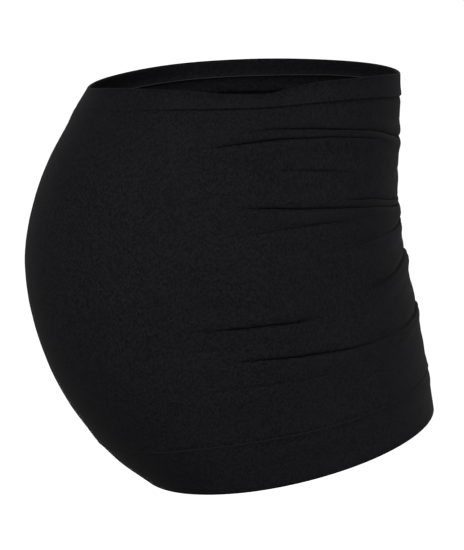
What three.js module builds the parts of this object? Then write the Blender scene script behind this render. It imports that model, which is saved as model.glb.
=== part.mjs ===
// Maternity support belt: a seamless knitted tube, as it sits stretched over a pregnant torso.
// Millimetres, +Z up. The wearer faces -Y, so the belly points to -Y and the wearer's left is +X.
// The origin lies on the torso's axis, at the level where the belly reaches furthest forward.
//
// Three pieces make the belt: the body panel, which is one seamless tube with crosswise folds over
// the small of the back, and two folded bands that clasp its edges, the top band and the hem band.
// Every point of the cloth is named by three numbers: "turn", the angle round the torso in degrees
// (0 at the belly, 90 at the wearer's left, 180 at the spine), "level", the knitted line it lies on
// as a share of the way up from the hem to the rim, and "offset", how far it stands out from the
// body panel's outer face.
import * as THREE from "three";

// Reach of the torso that stretches the belt
const BELLY_REACH = 190; // from the torso's axis forward to the belly's foremost point
const HIP_REACH = 139; // from the torso's axis back to the hem, where the hips push it out
const HIP_HALF_WIDTH = 175; // from the torso's axis sideways to the hem
const HEM_AXIS = 20; // how far behind the torso's axis the hem is widest
const RIM_AXIS = -12; // the same at the rim, where the widest place lies before the axis

// Heights along the belly and along the spine
const FRONT_DROP = 167; // from the origin's level down to the hem at the belly
const FRONT_HEIGHT = 312; // from there up to the rim
const BACK_DROP = 116; // from the origin's level down to the hem at the spine
const BACK_HEIGHT = 272; // from there up to the rim
const SIDE_HEIGHT = (FRONT_HEIGHT + BACK_HEIGHT) / 2;

// Rim of the belt
const LEFT_ARCH = 8.5; // how far the rim arches up at the wearer's left
const RIGHT_ARCH = 3; // the same at the wearer's right
const RIM_DIP = 8.3; // how far the rim sags again in the middle of the wearer's left
const DIP_TURN = 94; // where round the torso it sags
const DIP_BEFORE = 27; // how many degrees the sag takes to fade towards the belly
const DIP_BEHIND = 15; // the same towards the spine
const RIM_WAVE = 1.8; // how far the rim wanders up and down besides
const DIP_HEIGHT = 24; // how far down from the rim the sag and the wandering are felt

// Cloth
const CLOTH = 1.2; // thickness of the knitted tube
const BAND_CLOTH = 1; // thickness of each of a band's two layers
const CLEARANCE = 0.3; // air between one layer and the next
const EDGE_ROOM = 1; // air between the tube's edge and the fold of the band that holds it
const BAND_HALF = CLOTH / 2 + CLEARANCE + BAND_CLOTH;

// Heights of the bands' layers, measured at the wearer's side
const TOP_BAND = 15; // outer layer of the top band
const TOP_FACING = 14; // its inner layer, which ends in a free edge
const HEM_BAND = 44; // outer layer of the hem band
const HEM_FACING = 40; // its inner layer

// Folds of the body panel
const CREASE_DEPTH = 3; // depth of the deepest crease
const CREASE_SPREAD = 2.6; // how far a crease's steep flanks reach
const ROLL_HEIGHT = 1.8; // how far the roll of cloth below the deepest crease stands out
const ROLL_DROP = 6.5; // from a crease down to the top of its roll
const ROLL_SPREAD = 5; // how far the roll reaches on either side of its top
const BROW_HEIGHT = 0.9; // how far the cloth above the deepest crease stands out
const BROW_RISE = 4.5; // from a crease up to the top of that brow
const FOLD_FADE = 22; // degrees over which a fold fades at each end

// Fineness of the faceted walls
const COLUMNS = 44; // columns of facets round the torso
const FOLD_ROW = 2.7; // least height of a row of facets, at the folds
const PLAIN_ROW = 12; // greatest height of a row, where the cloth has no folds
const BAND_ROW = 11; // height of a row in the bands and in the cloth between their layers
const EDGE_STEPS = 4; // facets round a band's folded edge
const NEAR_TURN = 0.5; // degrees between two points that give the cloth's direction
const NEAR_RISE = 0.004; // the same up the torso, as a share of the way up

// Sections of the torso at even steps from the hem to the rim. front is a share of BELLY_REACH,
// frontLevel of FRONT_HEIGHT, back of HIP_REACH, backLevel of BACK_HEIGHT, side of HIP_HALF_WIDTH.
const SECTIONS = [
  { front: 0.492, frontLevel: 0.0, back: 0.99, backLevel: 0.0, side: 1.0 },
  { front: 0.627, frontLevel: 0.055, back: 0.96, backLevel: 0.1, side: 0.994 },
  { front: 0.757, frontLevel: 0.137, back: 0.932, backLevel: 0.2, side: 0.984 },
  { front: 0.859, frontLevel: 0.231, back: 0.892, backLevel: 0.3, side: 0.968 },
  { front: 0.933, frontLevel: 0.336, back: 0.85, backLevel: 0.4, side: 0.945 },
  { front: 0.982, frontLevel: 0.45, back: 0.808, backLevel: 0.5, side: 0.92 },
  { front: 0.997, frontLevel: 0.566, back: 0.776, backLevel: 0.6, side: 0.892 },
  { front: 0.967, frontLevel: 0.681, back: 0.778, backLevel: 0.7, side: 0.862 },
  { front: 0.906, frontLevel: 0.792, back: 0.783, backLevel: 0.8, side: 0.828 },
  { front: 0.817, frontLevel: 0.897, back: 0.785, backLevel: 0.9, side: 0.79 },
  { front: 0.722, frontLevel: 1.0, back: 0.783, backLevel: 1.0, side: 0.75 },
];

// Knitted lines that run round the back, a row each from the hem up to the rim. side is how far up
// the line lies from the belly to LINE_START degrees, then flank, rear and spine LINE_STEP degrees
// apart. The lines with a depth are the creases: depth is a share of CREASE_DEPTH, and from and to
// are the angles between which the fold is seen.
const LINE_START = 60;
const LINE_STEP = 40;
const LINES = [
  { side: 0.0, flank: 0.0, rear: 0.0, spine: 0.0 },
  { side: 0.152, flank: 0.14, rear: 0.13, spine: 0.134 },
  { side: 0.288, flank: 0.273, rear: 0.256, spine: 0.25, depth: 0.3, from: 62, to: 108 },
  { side: 0.358, flank: 0.333, rear: 0.303, spine: 0.314, depth: 0.95, from: 70, to: 246 },
  { side: 0.431, flank: 0.415, rear: 0.392, spine: 0.388, depth: 0.75, from: 60, to: 124 },
  { side: 0.455, flank: 0.442, rear: 0.446, spine: 0.472, depth: 0.9, from: 120, to: 238 },
  { side: 0.545, flank: 0.552, rear: 0.562, spine: 0.567, depth: 0.7, from: 116, to: 250 },
  { side: 0.619, flank: 0.637, rear: 0.626, spine: 0.592, depth: 0.7, from: 74, to: 168 },
  { side: 0.702, flank: 0.688, rear: 0.653, spine: 0.616, depth: 1.0, from: 78, to: 272 },
  { side: 0.728, flank: 0.71, rear: 0.675, spine: 0.636, depth: 0.6, from: 114, to: 214 },
  { side: 0.775, flank: 0.779, rear: 0.745, spine: 0.7, depth: 0.35, from: 80, to: 142 },
  { side: 0.838, flank: 0.857, rear: 0.837, spine: 0.785, depth: 0.7, from: 66, to: 160 },
  { side: 0.872, flank: 0.881, rear: 0.86, spine: 0.812, depth: 0.95, from: 76, to: 278 },
  { side: 0.905, flank: 0.912, rear: 0.895, spine: 0.86, depth: 0.6, from: 236, to: 304 },
  { side: 0.949, flank: 0.945, rear: 0.948, spine: 0.936 },
  { side: 1.0, flank: 1.0, rear: 1.0, spine: 1.0 },
];
const FOLDS = LINES.filter((line) => line.depth);

// How far the rim wanders at even steps round the torso from the belly, as shares of RIM_WAVE
const RIM_WAVES = [-0.7, 0.8, 0.3, 0, 0.2, 1, -0.35, -0.6, -0.85, -0.55, -0.2, -0.55];

const RADIANS = Math.PI / 180;

// From 0 to 1 as t passes from 0 to 1, without a kink at either end
function ease(t) {
  const s = Math.min(Math.max(t, 0), 1);
  return s * s * (3 - 2 * s);
}

// A bell of height 1, at distance d from its top
function bell(d, spread) {
  return Math.exp(-((d / spread) ** 2));
}

// A smooth curve from b to c as t passes from 0 to 1, between their neighbours a and d
function curve([a, b, c, d], t) {
  return b + 0.5 * t * (c - a + t * (2 * a - 5 * b + 4 * c - d + t * (3 * (b - c) + d - a)));
}

// One column of the sections at a given rise, going straight on past the first and the last row
function section(name, rise) {
  const last = SECTIONS.length - 1;
  const value = (k) => {
    if (k < 0) return 2 * value(0) - value(1);
    if (k > last) return 2 * value(last) - value(last - 1);
    return SECTIONS[k][name];
  };
  const place = rise * last;
  const i = Math.min(Math.floor(place), last - 1);
  return curve([i - 1, i, i + 1, i + 2].map(value), place - i);
}

// How far the rim's arch, its wandering and its sag lift a point
function rimLift(turn, rise) {
  const arch = turn <= 180 ? LEFT_ARCH : RIGHT_ARCH;
  const count = RIM_WAVES.length;
  const place = (turn / 360) * count;
  const i = Math.floor(place);
  const near = [i - 1, i, i + 1, i + 2].map((k) => RIM_WAVES[(k + count) % count]);
  const sag = RIM_DIP * bell(turn - DIP_TURN, turn < DIP_TURN ? DIP_BEFORE : DIP_BEHIND);
  const nearRim = ease(1 - ((1 - rise) * SIDE_HEIGHT) / DIP_HEIGHT);
  const wander = RIM_WAVE * curve(near, place - i);
  return arch * (Math.sin(turn * RADIANS) * ease(rise)) ** 2 + (wander - sag) * nearRim;
}

// The torso's surface, without the folds
function torso(turn, rise) {
  const axis = HEM_AXIS + (RIM_AXIS - HEM_AXIS) * rise;
  const front = -BELLY_REACH * section("front", rise);
  const back = HIP_REACH * section("back", rise);
  const forward = Math.cos(turn * RADIANS);
  const y = axis - (forward > 0 ? axis - front : back - axis) * forward;
  const frontLevel = FRONT_HEIGHT * section("frontLevel", rise) - FRONT_DROP;
  const backLevel = BACK_HEIGHT * section("backLevel", rise) - BACK_DROP;
  const backward = (y - front) / (back - front);
  return new THREE.Vector3(
    HIP_HALF_WIDTH * section("side", rise) * Math.sin(turn * RADIANS),
    y,
    frontLevel + (backLevel - frontLevel) * backward + rimLift(turn, rise),
  );
}

// The direction that points straight out of the torso
function outward(turn, rise) {
  const along = torso(turn + NEAR_TURN, rise).sub(torso(turn - NEAR_TURN, rise));
  const above = torso(turn, Math.min(rise + NEAR_RISE, 1));
  const below = torso(turn, Math.max(rise - NEAR_RISE, 0));
  return along.cross(above.sub(below)).normalize();
}

// How far up a line lies at one angle, the same on the wearer's left and right
function lineAt({ side, flank, rear, spine }, turn) {
  const place = Math.max(Math.min(turn, 360 - turn) - LINE_START, 0) / LINE_STEP;
  if (place < 1) return curve([flank, side, flank, rear], place);
  if (place < 2) return curve([side, flank, rear, spine], place - 1);
  return curve([flank, rear, spine, rear], place - 2);
}

// How far up the torso a level lies at one angle, between the known lines above and below it
function riseOf(turn, level) {
  const i = Math.max(LINES.findIndex((line) => line.side >= level), 1);
  const [low, high] = [LINES[i - 1], LINES[i]];
  const share = (level - low.side) / (high.side - low.side);
  return lineAt(low, turn) * (1 - share) + lineAt(high, turn) * share;
}

// How far the folds push the cloth out
function foldHeight(turn, rise) {
  let height = 0;
  for (const fold of FOLDS) {
    const above = (rise - lineAt(fold, turn)) * SIDE_HEIGHT;
    const fades = ease((turn - fold.from) / FOLD_FADE) * ease((fold.to - turn) / FOLD_FADE);
    const roll = ROLL_HEIGHT * bell(above + ROLL_DROP, ROLL_SPREAD);
    const brow = BROW_HEIGHT * bell(above - BROW_RISE, ROLL_SPREAD);
    height += fold.depth * fades * (roll + brow - CREASE_DEPTH * bell(above, CREASE_SPREAD));
  }
  return height;
}

function cloth(turn, level, offset) {
  const rise = riseOf(turn, level);
  return torso(turn, rise).addScaledVector(outward(turn, rise), foldHeight(turn, rise) + offset);
}

// Distances from the folded edge of the rows of facets inside a band's layer of one height
function bandRows(height) {
  const count = Math.max(Math.round(height / BAND_ROW) - 1, 0);
  return Array.from({ length: count }, (_, k) => (k + 1) * BAND_ROW);
}

// Levels of the body panel's rows: its two edges and the rows between the bands' layers, then the
// creases with their rolls and brows, then plain rows
function panelLevels() {
  const edge = (BAND_HALF + EDGE_ROOM) / SIDE_HEIGHT;
  const levels = [edge, 1 - edge];
  const offer = (level) => {
    const nearest = Math.min(...levels.map((other) => Math.abs(other - level)));
    if (nearest * SIDE_HEIGHT >= FOLD_ROW && level > edge && level < 1 - edge) levels.push(level);
  };
  for (const distance of bandRows(HEM_BAND)) offer(distance / SIDE_HEIGHT);
  for (const distance of bandRows(TOP_BAND)) offer(1 - distance / SIDE_HEIGHT);
  for (const above of [0, -ROLL_DROP, BROW_RISE, -2 * ROLL_DROP, 2 * BROW_RISE]) {
    for (const fold of FOLDS) offer(fold.side + above / SIDE_HEIGHT);
  }
  levels.sort((a, b) => a - b);
  for (const [i, low] of levels.slice(0, -1).entries()) {
    const gap = levels[i + 1] - low;
    const rows = Math.ceil((gap * SIDE_HEIGHT) / PLAIN_ROW);
    for (let k = 1; k < rows; k += 1) levels.push(low + (gap * k) / rows);
  }
  return levels.sort((a, b) => a - b);
}

// The panel's wall in section: up its outer face and down its inner face
function panelRing() {
  const levels = panelLevels();
  const outer = levels.map((level) => ({ level, offset: 0 }));
  const inner = levels.map((level) => ({ level, offset: -CLOTH })).reverse();
  return [...outer, ...inner];
}

// A band's wall in section, from the outer layer's free edge to the folded edge, over it and along
// the inner layer, then back through the gap that holds the panel. place turns a distance from the
// folded edge into a level.
function bandRing(place, outerHeight, innerHeight) {
  const ring = [];
  const add = (distance, out) => ring.push({ level: place(distance), offset: out - CLOTH / 2 });
  const away = (height) => [BAND_HALF, ...bandRows(height), height];
  const towards = (height) => away(height).reverse();
  for (const distance of towards(outerHeight)) add(distance, BAND_HALF);
  for (let k = 1; k < EDGE_STEPS; k += 1) {
    const angle = (Math.PI * k) / EDGE_STEPS;
    add(BAND_HALF * (1 - Math.sin(angle)), BAND_HALF * Math.cos(angle));
  }
  for (const distance of away(innerHeight)) add(distance, -BAND_HALF);
  for (const distance of towards(innerHeight)) add(distance, BAND_CLOTH - BAND_HALF);
  for (const distance of away(outerHeight)) add(distance, BAND_HALF - BAND_CLOTH);
  return ring;
}

function topRing() {
  return bandRing((distance) => 1 - distance / SIDE_HEIGHT, TOP_BAND, TOP_FACING);
}

function hemRing() {
  return bandRing((distance) => distance / SIDE_HEIGHT, HEM_BAND, HEM_FACING).reverse();
}

// One closed wall round the torso, from its section. Every facet's diagonal rises with the turn,
// on the outer and the inner faces alike, so that neighbouring layers stay evenly apart.
function wall(name, ring, material) {
  const points = [];
  const faces = [];
  for (let column = 0; column < COLUMNS; column += 1) {
    const here = column * ring.length;
    const next = ((column + 1) % COLUMNS) * ring.length;
    for (const [k, { level, offset }] of ring.entries()) {
      points.push(...cloth((360 * column) / COLUMNS, level, offset).toArray());
      const m = (k + 1) % ring.length;
      if (ring[m].level > level) faces.push(here + k, next + k, next + m, here + k, next + m, here + m);
      else faces.push(here + k, next + k, here + m, next + k, next + m, here + m);
    }
  }
  const geometry = new THREE.BufferGeometry();
  geometry.setAttribute("position", new THREE.Float32BufferAttribute(points, 3));
  geometry.setIndex(faces);
  geometry.computeVertexNormals();
  const mesh = new THREE.Mesh(geometry, material);
  mesh.name = name;
  return mesh;
}

const knit = new THREE.MeshStandardMaterial({ color: 0x19191b, roughness: 0.9 });

const belt = new THREE.Group();
belt.name = "maternity_support_belt";
belt.add(wall("body_panel", panelRing(), knit));
belt.add(wall("top_band", topRing(), knit));
belt.add(wall("hem_band", hemRing(), knit));
export default belt;
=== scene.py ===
"""Maternity support belt in fine black knit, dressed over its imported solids.

The belt is one seamless tube, stretched open by a pregnant torso, with a folded band along each of
its two edges.  Metres, +Z up.  The wearer faces -Y and the wearer's left is +X.

Every point of the cloth is named by three numbers: its turn, the angle round the torso in degrees
(0 at the belly, 90 at the wearer's left, 180 at the spine), its level, the knitted line it lies on
as a share of the way up from the hem to the rim, and its offset, how far it stands out from the
outer face of the tube.
"""

from __future__ import annotations

import logging
import math
from dataclasses import dataclass
from enum import Enum
from typing import Callable, ClassVar, Sequence

import bpy
import numpy as np
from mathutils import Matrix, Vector

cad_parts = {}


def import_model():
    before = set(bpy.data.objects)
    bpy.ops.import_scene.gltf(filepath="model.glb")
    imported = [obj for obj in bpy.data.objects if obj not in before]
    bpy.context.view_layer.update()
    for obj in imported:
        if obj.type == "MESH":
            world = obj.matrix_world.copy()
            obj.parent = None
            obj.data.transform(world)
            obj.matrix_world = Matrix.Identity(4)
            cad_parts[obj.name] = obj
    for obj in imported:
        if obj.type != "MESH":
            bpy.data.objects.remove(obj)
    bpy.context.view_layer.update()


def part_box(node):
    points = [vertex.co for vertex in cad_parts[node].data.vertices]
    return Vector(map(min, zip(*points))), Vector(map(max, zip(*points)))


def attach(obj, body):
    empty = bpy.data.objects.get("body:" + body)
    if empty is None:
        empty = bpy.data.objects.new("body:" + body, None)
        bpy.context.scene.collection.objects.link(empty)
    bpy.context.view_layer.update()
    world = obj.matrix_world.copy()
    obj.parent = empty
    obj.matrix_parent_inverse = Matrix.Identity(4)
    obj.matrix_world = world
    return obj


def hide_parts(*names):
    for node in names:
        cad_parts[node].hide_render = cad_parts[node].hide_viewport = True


LOG = logging.getLogger("support_belt")

MM = 0.001
BODY = "root"
CLOTH_MAP = "cloth"
# Attribute that carries painted shade: how much the colour is darkened in the creases, in the grooves along
# the bands' edges and towards the bands' folds
PAINTED_SHADE_MARK = "painted_shade"
AWAY_MARK = "away"

WHITE = (1.0, 1.0, 1.0, 1.0)

# Places of the sockets that share their name with others of the same node
COLOUR_MIX_INPUTS = (0, 6, 7)
COLOUR_MIX_OUTPUT = 2
RANDOM_FLOAT_INPUTS = (2, 3)
RANDOM_FLOAT_OUTPUT = 1

# Angles between which the bands' edges stand out from the tube, and degrees over which they begin to
EDGE_TURNS = (40.0, 322.0, 36.0)

Array = np.ndarray
Colour = tuple[float, float, float]


def ease(t: Array) -> Array:
    """Rise from 0 to 1 as t passes from 0 to 1, without a kink at either end."""
    share = np.clip(t, 0.0, 1.0)
    return share * share * (3.0 - 2.0 * share)


def bell(distance: Array, spread: float) -> Array:
    """Fall from 1 on both sides of distance 0."""
    return np.exp(-((distance / spread) ** 2))


def between(place: Array, start: float, end: float, fade: float) -> Array:
    """Rise from 0 to 1 past a start, and fall back to 0 towards an end.

    Args:
        place: Where the share is wanted.
        start: Where it leaves 0.
        end: Where it is back at 0.
        fade: How far it takes to rise, and to fall.

    Returns:
        The share at each place.
    """
    return ease((place - start) / fade) * ease((end - place) / fade)


def curve(a: Array, b: Array, c: Array, d: Array, t: Array) -> Array:
    """Pass smoothly from b to c as t passes from 0 to 1.

    Args:
        a: The value before b.
        b: The value at 0.
        c: The value at 1.
        d: The value after c.
        t: The place between b and c.

    Returns:
        The values at t.
    """
    bend = 2 * a - 5 * b + 4 * c - d + t * (3 * (b - c) + d - a)
    return b + 0.5 * t * (c - a + t * bend)


def ripple(turn: Array, seed: int) -> Array:
    """Wander between about -1 and 1 round the torso, the same way each time.

    Args:
        turn: Angles round the torso, in degrees.
        seed: Which of the wanderings this is.

    Returns:
        The wandering at each angle.
    """
    waves = (5, 9, 14, 22)
    seed_shift, wave_shift, flattening, full_height = 2.4, 1.7, 1.5, 1.4
    total = sum(
        np.sin(np.radians(turn * wave) + seed_shift * seed + wave_shift * k * seed) / (k + flattening)
        for k, wave in enumerate(waves)
    )
    return total / full_height


def put(name: str, data: bpy.types.ID) -> bpy.types.Object:
    """Put data into the scene.

    Args:
        name: The new object's name.
        data: Its mesh, camera or lamp.

    Returns:
        The object.
    """
    thing = bpy.data.objects.new(name, data)
    bpy.context.scene.collection.objects.link(thing)
    return thing


@dataclass(frozen=True)
class Section:
    """One level of the torso, as shares of the sizes that TorsoSizes names.

    Attributes:
        front: Reach of the belly, of belly_reach.
        front_level: Height at the belly, of front_height.
        back: Reach of the back, of hip_reach.
        back_level: Height at the spine, of back_height.
        side: Half width, of hip_half_width.
    """

    front: float
    front_level: float
    back: float
    back_level: float
    side: float


@dataclass(frozen=True)
class Fold:
    """A crosswise crease with the roll of cloth under it.

    Attributes:
        depth: Depth, as a share of the deepest crease.
        start: Angle at which the fold begins, in degrees.
        end: Angle at which it has faded.
        roll: Height of its roll, as a share of the highest.
        fade: Degrees over which it fades at each end.
        valley: How far the hollow above the crease opens, in metres.
        lip: How far the cloth's edge right under the crease stands out, in metres.
    """

    depth: float
    start: float
    end: float
    roll: float
    fade: float = 22.0
    valley: float = 1.2 * MM
    lip: float = 0.0


@dataclass(frozen=True)
class KnitLine:
    """A knitted line round the back, as shares of the way up from the hem to the rim.

    Attributes:
        side: Where it lies from the belly to the first station.
        flank: Where it lies at the second.
        rear: Where it lies at the third.
        spine: Where it lies at the spine.
        folds: The folds that run along it.
    """

    side: float
    flank: float
    rear: float
    spine: float
    folds: tuple[Fold, ...] = ()


# From the hem up to the rim, at even shares of the way
SECTIONS = (
    Section(0.492, 0.0, 0.99, 0.0, 1.0),
    Section(0.627, 0.055, 0.96, 0.1, 0.994),
    Section(0.757, 0.137, 0.932, 0.2, 0.984),
    Section(0.859, 0.231, 0.892, 0.3, 0.968),
    Section(0.933, 0.336, 0.85, 0.4, 0.945),
    Section(0.982, 0.45, 0.808, 0.5, 0.92),
    Section(0.997, 0.566, 0.776, 0.6, 0.892),
    Section(0.967, 0.681, 0.778, 0.7, 0.862),
    Section(0.906, 0.792, 0.783, 0.8, 0.828),
    Section(0.817, 0.897, 0.785, 0.9, 0.79),
    Section(0.722, 1.0, 0.783, 1.0, 0.75),
)

# How far the rim wanders at even steps round the torso from the belly, as shares of rim_wave
RIM_WAVES = (-0.7, 0.8, 0.3, 0.0, 0.2, 1.0, -0.35, -0.6, -0.85, -0.55, -0.2, -0.55)

# From the hem up to the rim; the lines without folds hold the cloth between the others in place
KNIT_LINES = (
    KnitLine(0.0, 0.0, 0.0, 0.0),
    KnitLine(0.06, 0.055, 0.05, 0.052, (Fold(0.1, 98, 134, 0.1, fade=12),)),
    KnitLine(0.1346, 0.1239, 0.1149, 0.1185, (Fold(0.15, 58, 226, 0.35, fade=40, valley=6 * MM),)),
    KnitLine(0.152, 0.14, 0.13, 0.134),
    KnitLine(0.288, 0.273, 0.256, 0.25, (Fold(0.2, 66, 122, 0.4),)),
    KnitLine(
        0.358, 0.333, 0.303, 0.314,
        (Fold(0.95, 74, 140, 0.7), Fold(0.5, 112, 246, 0.9, fade=40, valley=4 * MM, lip=1.1 * MM)),
    ),
    KnitLine(0.431, 0.415, 0.392, 0.388, (Fold(0.75, 66, 116, 0.6),)),
    KnitLine(0.455, 0.442, 0.446, 0.472, (Fold(0.7, 122, 238, 1.0, fade=30, valley=5 * MM, lip=1.3 * MM),)),
    KnitLine(0.545, 0.552, 0.562, 0.567, (Fold(0.5, 118, 250, 0.9, fade=30, valley=4 * MM, lip=1.2 * MM),)),
    KnitLine(
        0.619, 0.637, 0.626, 0.592,
        (Fold(0.4, 80, 134, 0.4), Fold(0.15, 132, 196, 0.4, valley=3 * MM)),
    ),
    KnitLine(0.702, 0.688, 0.653, 0.616, (Fold(1.0, 78, 272, 0.9),)),
    KnitLine(0.728, 0.71, 0.675, 0.636, (Fold(0.9, 118, 214, 0.4),)),
    KnitLine(0.775, 0.779, 0.745, 0.7, (Fold(0.4, 86, 136, 0.3),)),
    KnitLine(0.838, 0.857, 0.837, 0.785, (Fold(0.7, 68, 156, 0.8),)),
    KnitLine(0.872, 0.881, 0.86, 0.812, (Fold(0.95, 80, 278, 0.9, fade=34),)),
    KnitLine(0.908, 0.904, 0.889, 0.858, (Fold(0.85, 236, 316, 0.5, valley=2 * MM),)),
    KnitLine(0.949, 0.945, 0.948, 0.936),
    KnitLine(1.0, 1.0, 1.0, 1.0),
)


@dataclass(frozen=True)
class TorsoSizes:
    """Sizes of the torso that fills the belt, in metres.

    Attributes:
        belly_reach: From the torso's axis forward to the belly's foremost point.
        hip_reach: From the axis back to the hem.
        hip_half_width: From the axis sideways to the hem.
        hem_axis: How far behind the torso's axis the hem is widest.
        rim_axis: The same at the rim.
        front_drop: From the origin's level down to the hem at the belly.
        front_height: From there up to the rim.
        back_drop: From the origin's level down to the hem at the spine.
        back_height: From there up to the rim.
        left_arch: How far the rim arches up at the wearer's left.
        right_arch: The same at the wearer's right.
        rim_dip: How far the rim sags in the middle of the wearer's left.
        rim_wave: How far the rim wanders up and down besides.
        dip_height: How far down from the rim the sag and the wandering are felt.
        dip_turn: Where round the torso it sags, in degrees.
        dip_before: How many degrees the sag takes to fade towards the belly.
        dip_behind: The same towards the spine.
        packed_stand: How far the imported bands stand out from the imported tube.
        width_shares: The sizes that follow the half width, as shares of it.
        height_shares: The sizes that follow the belt's height, as shares of it.
    """

    packed_stand: ClassVar[float] = 1.3 * MM
    width_shares: ClassVar[dict[str, float]] = {"hem_axis": 0.1143, "rim_axis": -0.0686}
    height_shares: ClassVar[dict[str, float]] = {
        "front_drop": 0.5105,
        "front_height": 0.9537,
        "back_drop": 0.3546,
        "back_height": 0.8315,
        "left_arch": 0.026,
        "right_arch": 0.0092,
        "rim_dip": 0.0254,
        "rim_wave": 0.0055,
        "dip_height": 0.0734,
    }

    belly_reach: float
    hip_reach: float
    hip_half_width: float
    hem_axis: float
    rim_axis: float
    front_drop: float
    front_height: float
    back_drop: float
    back_height: float
    left_arch: float
    right_arch: float
    rim_dip: float
    rim_wave: float
    dip_height: float
    dip_turn: float = 94.0
    dip_before: float = 27.0
    dip_behind: float = 15.0

    @classmethod
    def from_frame(cls) -> TorsoSizes:
        """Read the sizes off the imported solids, whose bands stand out from the tube.

        Returns:
            The sizes.
        """
        panel_low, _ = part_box("body_panel")
        hem_low, hem_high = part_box("hem_band")
        _, rim_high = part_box("top_band")
        height = rim_high.z - hem_low.z
        half_width = hem_high.x - cls.packed_stand
        fullest = max(section.front for section in SECTIONS)
        return cls(
            belly_reach=-panel_low.y / fullest,
            hip_reach=(hem_high.y - cls.packed_stand) / SECTIONS[0].back,
            hip_half_width=half_width,
            **{name: share * half_width for name, share in cls.width_shares.items()},
            **{name: share * height for name, share in cls.height_shares.items()},
        )

    @property
    def side_height(self) -> float:
        """Height of the belt at the wearer's side."""
        return 0.5 * (self.front_height + self.back_height)


class Torso:
    """The surface that the cloth lies on, and the folds that the cloth makes there.

    Every length is in metres.

    Attributes:
        sizes: The torso's sizes.
        crease_depth: Depth of the deepest crease.
        crease_edge: How far a crease opens below its line.
        crease_power: How abruptly a crease's sides fall.
        unevenness: How much the strength of a fold varies along it.
        roll_height: Height of the highest roll under a crease.
        roll_drop: How far under the crease the roll is highest.
        roll_spread: How far the roll and the brow spread.
        brow_height: How far the cloth above a crease stands out.
        brow_rise: How far above the crease it stands out most.
        overhang: How far the cloth above a crease is pulled down over it.
        overhang_rise: How far above the crease it is pulled most.
        overhang_spread: How far the pull spreads.
        lip_drop: How far under the crease its lip stands.
        lip_spread: How far the lip spreads.
        line_start: Angle of the knitted lines' first station, in degrees.
        line_step: Degrees from one station to the next.
        wander: How far a crease wanders up and down.
        slack_height: Height of the slack cloth's waves.
        slack_least: Share of it that they keep where the cloth is taut.
        slack_pitch: Distance from one wave to the next.
        slack_turns: Angles between which the cloth is slack, and degrees over which it slackens.
        slack_rises: Where it begins on the way up and how far it takes, and the same where it ends.
        slack_waves: Height, number, bend and seed of each of the waves laid over each other.
        near_turn: Degrees to either side over which the cloth's direction is measured.
        near_rise: Shares of the way up and down over which it is.
    """

    crease_depth = 3.0 * MM
    crease_edge = 0.9 * MM
    crease_power = 1.35
    unevenness = 0.16
    roll_height = 1.8 * MM
    roll_drop = 6.5 * MM
    roll_spread = 5.0 * MM
    brow_height = 0.9 * MM
    brow_rise = 4.5 * MM
    overhang = 1.0 * MM
    overhang_rise = 1.4 * MM
    overhang_spread = 1.6 * MM
    lip_drop = 1.3 * MM
    lip_spread = 1.0 * MM
    line_start = 60.0
    line_step = 40.0
    wander = 0.45 * MM
    slack_height = 0.3 * MM
    slack_least = 0.15
    slack_pitch = 24.0 * MM
    slack_turns = (60.0, 300.0, 60.0)
    slack_rises = (0.15, 0.2, 0.97, 0.15)
    slack_waves = ((1.0, 1.0, 1.6, 3), (0.6, 1.7, 2.1, 8))
    near_turn = 0.5
    near_rise = 0.004

    def __init__(self, sizes: TorsoSizes) -> None:
        """Keep the sizes and lay the tables out as columns.

        Args:
            sizes: The torso's sizes.
        """
        self.sizes = sizes
        self._columns = {
            name: self._padded([getattr(section, name) for section in SECTIONS])
            for name in ("front", "front_level", "back", "back_level", "side")
        }
        self._lines = np.array([[k.side, k.flank, k.rear, k.spine] for k in KNIT_LINES])

    @staticmethod
    def _padded(values: Sequence[float]) -> Array:
        """Go one step straight on past both ends of a column.

        Args:
            values: The column.

        Returns:
            The longer column.
        """
        first = 2 * values[0] - values[1]
        last = 2 * values[-1] - values[-2]
        return np.array([first, *values, last])

    def _section(self, name: str, rise: Array) -> Array:
        """Read one column of the sections at the given rises.

        Args:
            name: The column's name.
            rise: Shares of the way up.

        Returns:
            The column's values there.
        """
        column = self._columns[name]
        place = rise * (len(column) - 3)
        i = np.clip(np.floor(place).astype(int), 0, len(column) - 4)
        return curve(column[i], column[i + 1], column[i + 2], column[i + 3], place - i)

    def surface(self, turn: Array, rise: Array) -> Array:
        """Place points on the torso, without the folds.

        Args:
            turn: Angles round the torso, in degrees.
            rise: Shares of the way up.

        Returns:
            The points, with x, y and z last.
        """
        size = self.sizes
        angle = np.radians(turn)
        axis = size.hem_axis + (size.rim_axis - size.hem_axis) * rise
        front = -size.belly_reach * self._section("front", rise)
        back = size.hip_reach * self._section("back", rise)
        forward = np.cos(angle)
        y = axis - np.where(forward > 0, axis - front, back - axis) * forward
        x = size.hip_half_width * self._section("side", rise) * np.sin(angle)
        front_level = size.front_height * self._section("front_level", rise) - size.front_drop
        back_level = size.back_height * self._section("back_level", rise) - size.back_drop
        backward = (y - front) / (back - front)
        z = front_level + (back_level - front_level) * backward + self._rim_lift(turn, rise)
        return np.stack([x, y, z], axis=-1)

    def _rim_lift(self, turn: Array, rise: Array) -> Array:
        """Work out how far the rim's arch, its wandering and its sag lift the cloth.

        Args:
            turn: Angles round the torso, in degrees.
            rise: Shares of the way up.

        Returns:
            The lift at each place, in metres.
        """
        size = self.sizes
        arch = np.where(turn <= 180, size.left_arch, size.right_arch)
        place = turn / 360 * len(RIM_WAVES)
        i = np.floor(place).astype(int)
        near = [np.take(RIM_WAVES, i + k, mode="wrap") for k in (-1, 0, 1, 2)]
        wander = size.rim_wave * curve(*near, place - i)
        spread = np.where(turn < size.dip_turn, size.dip_before, size.dip_behind)
        sag = size.rim_dip * bell(turn - size.dip_turn, spread)
        near_rim = ease(1 - (1 - rise) * size.side_height / size.dip_height)
        return arch * (np.sin(np.radians(turn)) * ease(rise)) ** 2 + (wander - sag) * near_rim

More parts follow.
